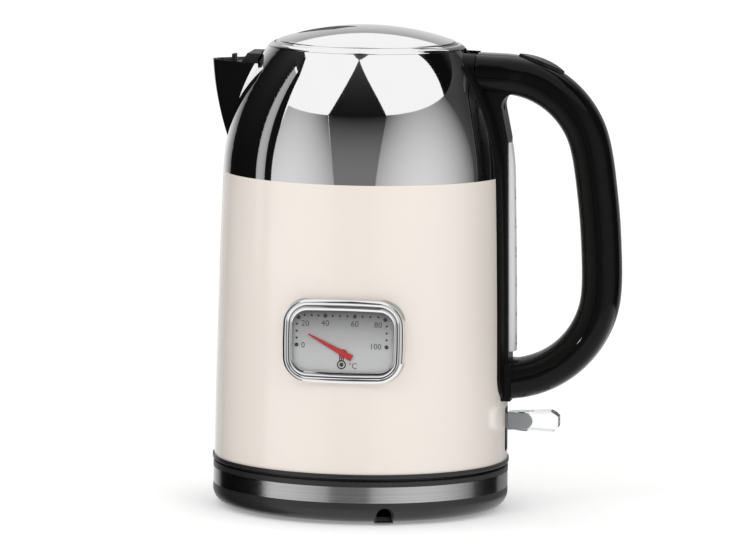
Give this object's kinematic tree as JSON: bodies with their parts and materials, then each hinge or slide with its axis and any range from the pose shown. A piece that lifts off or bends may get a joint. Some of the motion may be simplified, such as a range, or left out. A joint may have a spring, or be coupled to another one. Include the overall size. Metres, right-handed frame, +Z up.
{
  "type": "electric kettle",
  "caption": "Cordless electric kettle: painted steel jug with polished dome, loop handle, hinged lid, rocker lever, water window, dial thermometer and lift-off power base.",
  "frame": {"origin": "on the jug's vertical axis, on the plane of the base's rubber foot ring", "axes": "+Z up, +X from the jug's axis towards the handle, +Y away from the temperature gauge (the gauge faces -Y, the spout points -X)"},
  "size_m": [0.2141, 0.1556, 0.2492],
  "materials": {
    "cream_paint": "semi-gloss cream paint on the barrel",
    "polished_steel": "mirror polished",
    "brushed_band": "brushed around the base",
    "inner_steel": "satin",
    "screw_steel": "zinc plated",
    "spreader_aluminium": "as rolled",
    "contact_brass": "bright",
    "coil_copper": "bimetal strip",
    "black_plastic": "satin black",
    "dark_plastic": "satin dark grey",
    "gloss_black": "high gloss",
    "grey_plastic": "satin grey",
    "needle_red": "satin red",
    "dial_silver": "satin silver grey with dark marks",
    "clear_lens": "clear acrylic",
    "clear_glass": "clear",
    "filter_mesh": "fine nylon mesh",
    "black_rubber": "matt",
    "seal_rubber": "matt silicone"
  },
  "bodies": {
    "power_base": {"base_tray": "black_plastic", "base_band": "brushed_band", "base_cover": "black_plastic", "base_connector": "black_plastic", "contact_rings": "contact_brass", "cord_gland": "black_rubber", "foot_ring": "black_rubber", "base_screws": "screw_steel"},
    "coupler": {"jug_connector": "black_plastic", "jug_contacts": "contact_brass"},
    "jug": {"body_shell": "cream_paint", "dome_shell": "polished_steel", "spout": "polished_steel", "bottom_ring": "black_plastic", "underside_cover": "black_plastic", "bottom_screws": "screw_steel", "heater_plate": "inner_steel", "plate_seal": "seal_rubber", "heat_spreader": "spreader_aluminium", "heating_element": "inner_steel", "element_terminals": "screw_steel", "switch_housing": "black_plastic", "lever_pin": "screw_steel", "pilot_lamp": "clear_lens", "steam_tube": "black_plastic", "hinge_pin": "screw_steel", "lid_spring": "screw_steel", "handle_frame": "dark_plastic", "handle_cover": "gloss_black", "handle_screws": "screw_steel", "water_window": "clear_lens", "window_seal": "seal_rubber", "button_spring": "screw_steel", "latch_spring": "screw_steel", "gauge_bezel": "polished_steel", "gauge_glass": "clear_glass", "gauge_dial": "dial_silver", "gauge_housing": "black_plastic", "bimetal_coil": "coil_copper", "gauge_gasket": "seal_rubber"},
    "lid": {"lid_cover": "polished_steel", "lid_liner": "black_plastic", "lid_seal": "seal_rubber", "lid_screws": "screw_steel", "hinge_arm": "black_plastic"},
    "button": {"lid_button": "gloss_black"},
    "latch": {"latch_slider": "grey_plastic"},
    "lever": {"lever_core": "grey_plastic", "power_lever": "clear_lens"},
    "needle": {"gauge_needle": "needle_red", "needle_shaft": "contact_brass"},
    "filter": {"filter_frame": "black_plastic", "filter_mesh": "filter_mesh"}
  },
  "joints": [
    {"name": "jug_lift", "type": "slide", "parent": "power_base", "child": "coupler", "axis": [0, 0, 1], "range_m": [0, 0.06]},
    {"name": "jug_turn", "type": "hinge", "parent": "coupler", "child": "jug", "pos_m": [0, 0, 0.03], "axis": [0, 0, 1], "continuous": true},
    {"name": "lid_hinge", "type": "hinge", "parent": "jug", "child": "lid", "pos_m": [0.0561, 0, 0.2333], "axis": [0, 1, 0], "range_deg": [0, 80]},
    {"name": "lid_button_press", "type": "slide", "parent": "jug", "child": "button", "axis": [-0.3551, 0, -0.9348], "range_m": [0, 0.0025], "stiffness_N_per_m": 400, "springref_m": -0.002, "deforming": ["button_spring"]},
    {"name": "latch_slide", "type": "slide", "parent": "jug", "child": "latch", "axis": [-1, 0, 0], "range_m": [0, 0.0015], "stiffness_N_per_m": 200, "springref_m": -0.002, "deforming": ["latch_spring"]},
    {"name": "power_lever_tilt", "type": "hinge", "parent": "jug", "child": "lever", "pos_m": [0.05, 0, 0.0466], "axis": [0, 1, 0], "range_deg": [0, 20]},
    {"name": "gauge_needle_turn", "type": "hinge", "parent": "jug", "child": "needle", "pos_m": [0, -0.0757, 0.0883], "axis": [0, 1, 0], "range_deg": [-15.6, 143.8]},
    {"name": "filter_lift", "type": "slide", "parent": "jug", "child": "filter", "axis": [0, 0, 1], "range_m": [0, 0.045]}
  ],
  "couplings": [
    {"joint": "latch_slide", "follows": "lid_button_press", "ratio": 0.6}
  ]
}
